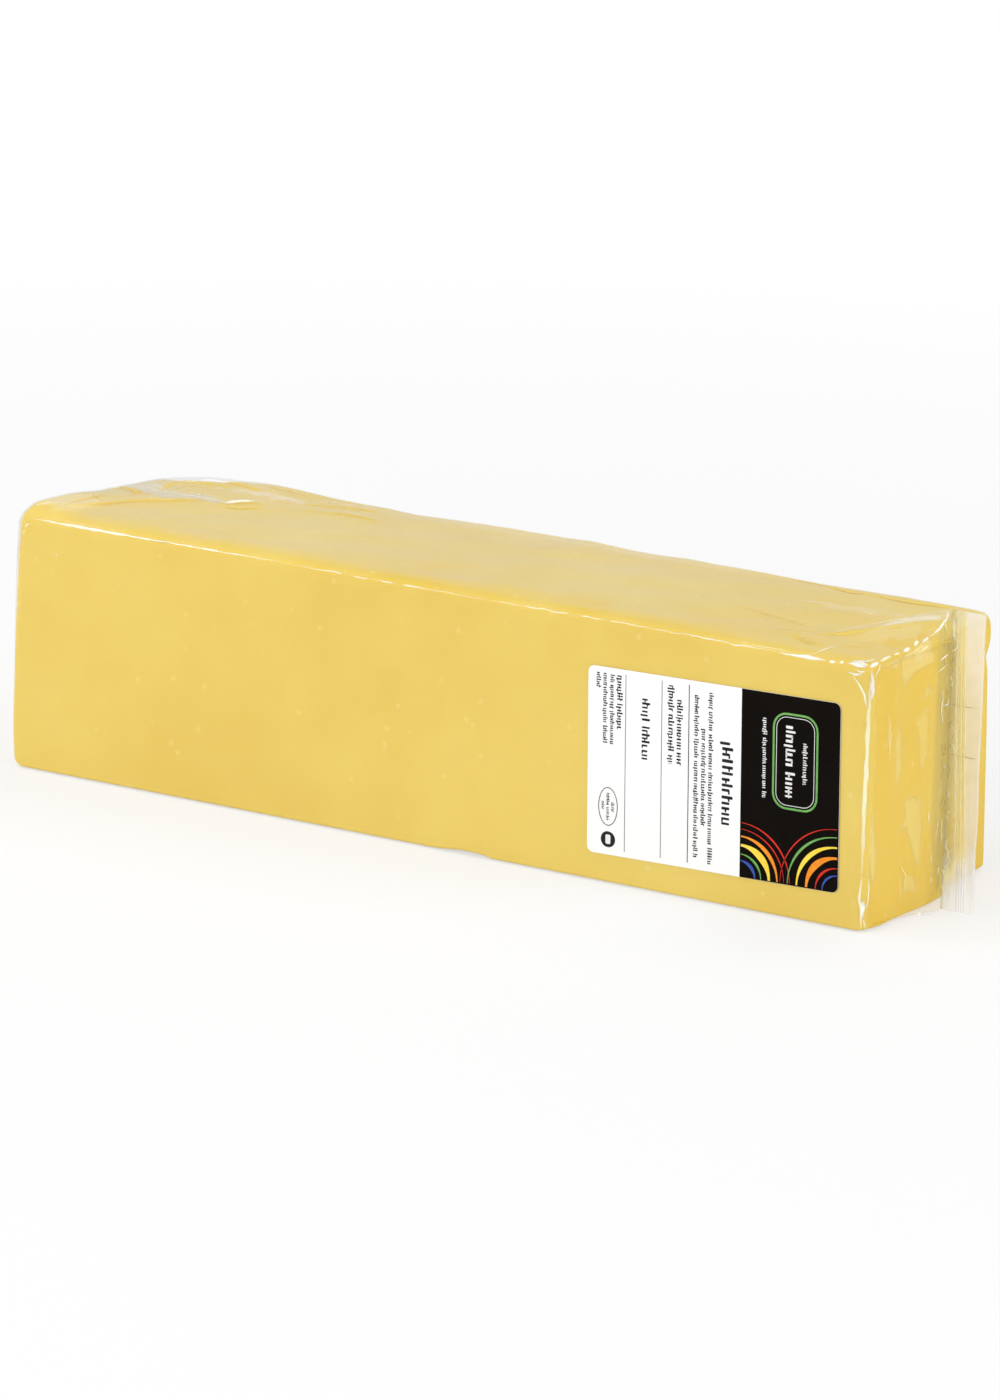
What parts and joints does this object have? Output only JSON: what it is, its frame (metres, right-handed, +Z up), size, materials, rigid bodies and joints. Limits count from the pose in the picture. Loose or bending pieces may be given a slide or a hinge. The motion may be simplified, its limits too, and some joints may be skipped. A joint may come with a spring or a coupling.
{
  "type": "gouda cheese block in clear film",
  "caption": "Long block of gouda cheese sealed in a clear film pack, with an upright end seal and a paper label on its front face.",
  "frame": {"origin": "centre of the flat face that the block rests on", "axes": "+X along the block towards the upright end seal, +Z up, and the label faces -Y"},
  "size_m": [0.3764, 0.0923, 0.1053],
  "materials": {
    "cheese_in_film": "pale yellow cheese under clear gloss film",
    "label_paper": "smooth white paper with a dark panel"
  },
  "bodies": {
    "root": {"sealed_pack": "cheese_in_film", "label": "label_paper"}
  },
  "joints": []
}
